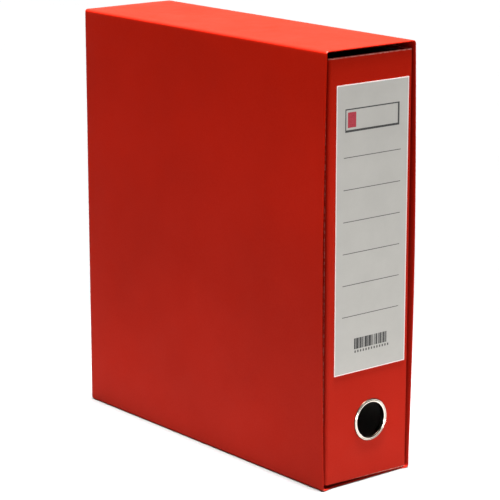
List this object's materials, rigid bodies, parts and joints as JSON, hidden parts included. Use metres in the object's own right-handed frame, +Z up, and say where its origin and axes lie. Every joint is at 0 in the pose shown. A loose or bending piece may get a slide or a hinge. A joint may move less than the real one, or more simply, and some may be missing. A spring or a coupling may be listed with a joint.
{
  "type": "lever arch file in slipcase",
  "caption": "A4 lever arch file with a labelled spine and a finger ring, standing in a rigid slipcase that is open at the spine; lever, arches and paper clamp work.",
  "frame": {"origin": "middle of the slipcase's footprint, on the surface that it stands on", "axes": "+Z up; the spine and the slipcase's mouth face -Y; +X runs through the thickness from the back cover, which carries the mechanism, to the front cover"},
  "size_m": [0.086, 0.291, 0.325],
  "materials": {
    "slipcase_paper": "satin printed paper over 1 mm card",
    "cover_paper": "satin printed paper over grey board",
    "lining_paper": "matt",
    "label_paper": "matt",
    "bright_chrome": "polished plating",
    "nickel_steel": "bright nickel plating",
    "black_plastic": "moulded"
  },
  "bodies": {
    "slipcase": {"case_left_wall": "slipcase_paper", "case_right_wall": "slipcase_paper", "case_floor": "slipcase_paper", "case_top_wall": "slipcase_paper", "case_back_wall": "slipcase_paper"},
    "spine": {"spine_board": "cover_paper", "spine_lining": "lining_paper", "spine_label": "label_paper", "finger_ring": "bright_chrome", "finger_ring_washer": "nickel_steel", "front_crease": "cover_paper", "back_crease": "cover_paper"},
    "front_cover": {"front_cover_board": "cover_paper", "front_cover_lining": "lining_paper"},
    "back_cover": {"back_cover_board": "cover_paper", "back_cover_lining": "lining_paper", "mechanism_base_plate": "nickel_steel", "base_rivet_1": "nickel_steel", "base_rivet_2": "nickel_steel", "base_rivet_3": "nickel_steel", "base_rivet_4": "nickel_steel", "lower_post": "bright_chrome", "upper_post": "bright_chrome", "lower_bearing_strap": "nickel_steel", "upper_bearing_strap": "nickel_steel", "leaf_spring": "nickel_steel", "lever_bracket": "nickel_steel", "lever_pivot_pin": "nickel_steel"},
    "arches": {"arch_wire": "bright_chrome"},
    "lever_arm": {"lever": "bright_chrome", "roller_pin": "nickel_steel"},
    "roller_wheel": {"roller": "black_plastic"},
    "compressor": {"compressor_bar": "nickel_steel", "catch_pin": "nickel_steel"},
    "thumb_catch": {"compressor_catch": "black_plastic"}
  },
  "joints": [
    {"name": "file_slide", "type": "slide", "parent": "slipcase", "child": "spine", "axis": [0, -1, 0], "range_m": [0, 0.285]},
    {"name": "front_cover_hinge", "type": "hinge", "parent": "spine", "child": "front_cover", "pos_m": [0.0392, -0.1413, 0.1603], "axis": [0, 0, -1], "range_deg": [0, 0.12]},
    {"name": "back_cover_hinge", "type": "hinge", "parent": "spine", "child": "back_cover", "pos_m": [-0.0374, -0.1413, 0.1603], "axis": [0, 0, 1], "range_deg": [0, 0.45]},
    {"name": "lever_hinge", "type": "hinge", "parent": "back_cover", "child": "lever_arm", "pos_m": [-0.01381, -0.109, 0.17206], "axis": [0, -1, 0], "range_deg": [0, 90]},
    {"name": "arch_hinge", "type": "hinge", "parent": "back_cover", "child": "arches", "pos_m": [-0.0299, -0.118, 0.1603], "axis": [0, 0, -1], "range_deg": [0, 32]},
    {"name": "roller_spin", "type": "hinge", "parent": "lever_arm", "child": "roller_wheel", "pos_m": [-0.02415, -0.109, 0.1683], "axis": [0, 1, 0], "continuous": true},
    {"name": "compressor_slide", "type": "slide", "parent": "back_cover", "child": "compressor", "axis": [1, 0, 0], "range_m": [0, 0.028]},
    {"name": "catch_hinge", "type": "hinge", "parent": "compressor", "child": "thumb_catch", "pos_m": [-0.0305, -0.075, 0.1883], "axis": [0, 1, 0], "range_deg": [0, 12], "stiffness_Nm_per_rad": 0.03, "springref_deg": -5.73}
  ],
  "couplings": [
    {"joint": "arch_hinge", "follows": "lever_hinge", "ratio": 0.35}
  ]
}
